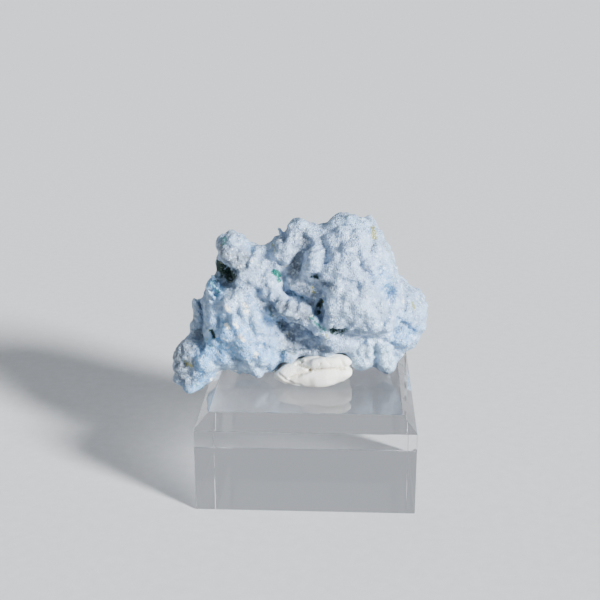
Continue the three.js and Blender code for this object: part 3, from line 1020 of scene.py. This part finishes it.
def puttyMaterial():
    material, tree, shader, place = newMaterial("mineral putty")
    cloud, fine = noise(tree, place, 260.0, 4.0), noise(tree, place, 2600.0, 3.0)
    # painted shade in the creases and the pit
    creaseShade = times(tree, mask(tree, "creaseShade"), 0.8)
    crumbs = times(tree, mask(tree, "crumbly"), ranged(tree, fine, 0.45, 0.65, 0.0, 0.5))
    colour = blended(tree, ranged(tree, cloud, 0.35, 0.65), putty["dull"], putty["offWhite"])
    colour = blended(tree, creaseShade, colour, putty["creaseShade"])
    colour = blended(tree, crumbs, colour, putty["dryCrumb"])
    height = maths(tree, "ADD", times(tree, fine, 0.35), cloud)
    bump = addNode(tree, "ShaderNodeBump", {"Strength": 0.35, "Distance": 0.0003, "Height": height})
    feed(tree, shader, {
        "Base Color": colour,
        "Normal": bump.outputs[0],
        "Roughness": ranged(tree, fine, 0.3, 0.7, 0.62, 0.85),
        "IOR": 1.45,
        "Subsurface Weight": 0.12,
        "Subsurface Radius": (1.2, 0.9, 0.6),
        "Subsurface Scale": 0.001,
    })
    return material


# The clear block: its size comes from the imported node
block = {
    "bevel": 3.2,  # millimetres
    "rounding": 0.18,
    "edgeSteps": 3,
    "cornerSteps": 4,
    "scratchTurns": (0.35, 1.9),  # the two ways that its hairlines run, in radians
    "scratchScale": (60, 2400, 60),
    "tint": (0.985, 0.985, 1.0, 1),
}


def roundedProfile(corners, radius, steps):
    # a broken line whose inner corners are rounded: start, corner and end weighed by the squares
    # of the share along the curve
    corners = np.array(corners, dtype=float)
    line = [corners[:1]]
    for before, corner, after in zip(corners[:-2], corners[1:-1], corners[2:]):
        toBefore = (before - corner) / np.linalg.norm(before - corner)
        toAfter = (after - corner) / np.linalg.norm(after - corner)
        share = np.linspace(0, 1, steps + 1)[:, None]
        start, end = corner + toBefore * radius, corner + toAfter * radius
        line.append(start * (1 - share) ** 2 + corner * 2 * share * (1 - share) + end * share**2)
    return np.concatenate(line + [corners[-1:]])


def makeBlock():
    # a square with tiny round corners carried up a profile of (inset, height) points
    low, high = (np.array(corner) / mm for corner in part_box("acrylic_base"))
    half, height, bevel = (high[0] - low[0]) / 2, high[2], block["bevel"]
    inner = half / 2  # anywhere past the bevel: the line's ends only give its end corners a side
    line = [(inner, 0), (0, 0), (0, height - bevel), (bevel, height), (inner, height)]
    profile = roundedProfile(line, block["rounding"], block["edgeSteps"])[1:-1]
    quarter = np.linspace(0, np.pi / 2, block["cornerSteps"] + 1)
    turn = np.concatenate([quarter + k * np.pi / 2 for k in range(4)])
    centre = np.repeat(np.arange(4) * np.pi / 2 + np.pi / 4, len(quarter))
    corner = half - block["rounding"]
    inset = profile[:, :1]
    across = np.sign(np.cos(centre)) * (corner - inset) + block["rounding"] * np.cos(turn)
    along = np.sign(np.sin(centre)) * (corner - inset) + block["rounding"] * np.sin(turn)
    level = np.repeat(profile[:, 1:], len(turn), axis=1)
    points = np.stack([across, along, level], axis=-1).reshape(-1, 3)
    count = len(turn)
    ring = np.arange(len(points)).reshape(-1, count)
    after = np.roll(ring, -1, axis=1)
    walls = np.stack([ring[:-1], after[:-1], after[1:], ring[1:]], axis=-1).reshape(-1, 4)
    mesh = bpy.data.meshes.new("clear_block")
    ends = [ring[0][::-1].tolist(), ring[-1].tolist()]
    mesh.from_pydata((points * mm).tolist(), [], walls.tolist() + ends)
    mesh.update()
    piece = bpy.data.objects.new("clear_block", mesh)
    bpy.context.scene.collection.objects.link(piece)
    return piece


def acrylicMaterial():
    material, tree, shader, place = newMaterial("polished acrylic")
    haze = noise(tree, place, 120.0, 5.0)
    # hairline scratches: noise drawn out along two directions
    streaks = []
    for turn in block["scratchTurns"]:
        drawnOut = {"Vector": place, "Rotation": (0, 0, turn), "Scale": block["scratchScale"]}
        streaks.append(noise(tree, addNode(tree, "ShaderNodeMapping", drawnOut).outputs[0], 1.0, 2.0))
    scratch = ranged(tree, maths(tree, "MAXIMUM", *streaks), 0.7, 0.78)
    rough = maths(tree, "ADD", ranged(tree, haze, 0.4, 0.8, 0.0, 0.035), times(tree, scratch, 0.12))
    bump = addNode(tree, "ShaderNodeBump", {"Strength": 0.05, "Distance": 0.0001, "Height": scratch})
    feed(tree, shader, {
        "Base Color": block["tint"],
        "Normal": bump.outputs[0],
        "Roughness": rough,
        "IOR": 1.49,
        "Transmission Weight": 1.0,
    })
    return material


# Floor, light and surroundings
studio = {
    "floorHalf": 12.0,  # metres
    "floorDrop": 0.1,  # millimetres of air under the block
    "floorTones": ((0.74, 0.74, 0.74), (0.78, 0.78, 0.785)),
    "sky": (0.90, 0.94, 1.0),
    "skyStrength": 0.4,
    "lightBounces": 32,  # light goes round inside the clear block many times before it leaves
    "sunFrom": (0.76, -0.54, 0.37),
    "sunSpread": 12.0,  # degrees across
    "sunStrength": 7.2,
    "sunColour": (0.94, 0.97, 1.0),
}


def makeFloor():
    half = studio["floorHalf"]
    corners = np.array([[-half, -half], [half, -half], [half, half], [-half, half]])
    points = np.column_stack([corners, np.full(4, -studio["floorDrop"] * mm)])
    floor = newPiece("floor", points, np.array([[0, 1, 2, 3]]), smooth=False)
    material, tree, shader, place = newMaterial("pale floor")
    grain = noise(tree, place, 400.0, 3.0)
    tone = blended(tree, ranged(tree, grain, 0.3, 0.7), *studio["floorTones"])
    feed(tree, shader, {"Base Color": tone, "Roughness": 0.8})
    floor.data.materials.append(material)


def makeLight():
    # an even sky, and one sun from the right and the front
    world = bpy.data.worlds.new("sky")
    bpy.context.scene.world = world
    world.use_nodes = True
    background = world.node_tree.nodes["Background"]
    background.inputs["Color"].default_value = (*studio["sky"], 1)
    background.inputs["Strength"].default_value = studio["skyStrength"]
    data = bpy.data.lights.new("key", "SUN")
    data.energy = studio["sunStrength"]
    data.angle = math.radians(studio["sunSpread"])
    data.color = studio["sunColour"]
    light = bpy.data.objects.new("key", data)
    light.rotation_euler = Vector(studio["sunFrom"]).to_track_quat("Z", "Y").to_euler()
    light.visible_transmission = False  # its disc isn't seen through the clear block
    bpy.context.scene.collection.objects.link(light)


def dress(piece, material, node):
    piece.data.materials.append(material)
    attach(piece, "root")
    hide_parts(node)


bpy.context.scene.view_settings.look = "AgX - Medium High Contrast"
cycles = bpy.context.scene.cycles
cycles.max_bounces = studio["lightBounces"]
cycles.transmission_bounces = studio["lightBounces"]
cycles.glossy_bounces = studio["lightBounces"]
makeCamera()
makeFloor()
makeLight()
print("studio ready")
dress(makeBlock(), acrylicMaterial(), "acrylic_base")
print("block ready")
dress(makePutty(), puttyMaterial(), "putty")
print("putty ready")
dress(makeStone(), stoneMaterial(), "gibbsite")
print("stone ready")

bpy.context.view_layer.update()
